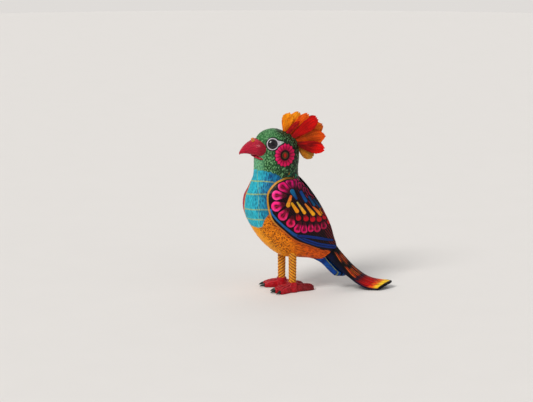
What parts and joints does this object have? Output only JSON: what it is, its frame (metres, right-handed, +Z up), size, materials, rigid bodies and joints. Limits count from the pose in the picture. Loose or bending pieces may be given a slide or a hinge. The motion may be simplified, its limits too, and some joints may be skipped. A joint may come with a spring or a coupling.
{
  "type": "carved and painted wooden bird figure",
  "caption": "Hand-carved and painted wooden parrot standing on two feet, with wings, tail boards and a feather crest that pull off their pegs.",
  "frame": {"origin": "on the floor under the middle of the figure's bounding box", "axes": "+Z up, -Y the way the bird faces, +X to the bird's left"},
  "size_m": [0.0788, 0.2134, 0.2481],
  "materials": {
    "body_green": "hand painted and varnished",
    "orange": "hand painted and varnished",
    "red": "hand painted and varnished",
    "wing_black": "hand painted and varnished",
    "claw_black": "hand painted and varnished",
    "eye_black": "painted, high gloss varnish",
    "yellow": "hand painted and varnished",
    "blue": "hand painted and varnished",
    "leg_orange": "hand painted and varnished",
    "bare_wood": "bare, whittled"
  },
  "bodies": {
    "carving": {"body": "body_green", "upper_beak": "red", "lower_beak": "red", "beak_peg": "bare_wood", "left_eye": "eye_black", "right_eye": "eye_black", "left_nostril": "yellow", "right_nostril": "yellow", "left_leg": "leg_orange", "right_leg": "leg_orange", "left_foot": "red", "right_foot": "red", "left_inner_claw": "claw_black", "left_middle_claw": "claw_black", "left_outer_claw": "claw_black", "right_inner_claw": "claw_black", "right_middle_claw": "claw_black", "right_outer_claw": "claw_black"},
    "left_wing_set": {"left_wing": "wing_black", "left_wing_peg_1": "bare_wood", "left_wing_peg_2": "bare_wood"},
    "right_wing_set": {"right_wing": "wing_black", "right_wing_peg_1": "bare_wood", "right_wing_peg_2": "bare_wood"},
    "upper_tail_set": {"upper_tail": "wing_black", "upper_tail_peg": "bare_wood"},
    "under_tail_set": {"under_tail": "blue", "under_tail_peg": "bare_wood"},
    "crest": {"crest_plug": "body_green", "crest_feather_orange_1": "orange", "crest_feather_orange_2": "orange", "crest_feather_orange_3": "orange", "crest_feather_orange_4": "orange", "crest_feather_orange_5": "orange", "crest_feather_orange_6": "orange", "left_crest_feather_red_1": "red", "left_crest_feather_red_2": "red", "left_crest_feather_red_3": "red", "right_crest_feather_red_1": "red", "right_crest_feather_red_2": "red", "right_crest_feather_red_3": "red"}
  },
  "joints": [
    {"name": "left_wing_pull", "type": "slide", "parent": "carving", "child": "left_wing_set", "axis": [1, 0, 0], "range_m": [0, 0.03]},
    {"name": "right_wing_pull", "type": "slide", "parent": "carving", "child": "right_wing_set", "axis": [-1, 0, 0], "range_m": [0, 0.03]},
    {"name": "upper_tail_pull", "type": "slide", "parent": "carving", "child": "upper_tail_set", "axis": [0, 1, 0], "range_m": [0, 0.025]},
    {"name": "under_tail_pull", "type": "slide", "parent": "carving", "child": "under_tail_set", "axis": [0, 0.6419, -0.7668], "range_m": [0, 0.014]},
    {"name": "crest_pull", "type": "slide", "parent": "carving", "child": "crest", "axis": [0, 0.7071, 0.7071], "range_m": [0, 0.02]}
  ]
}
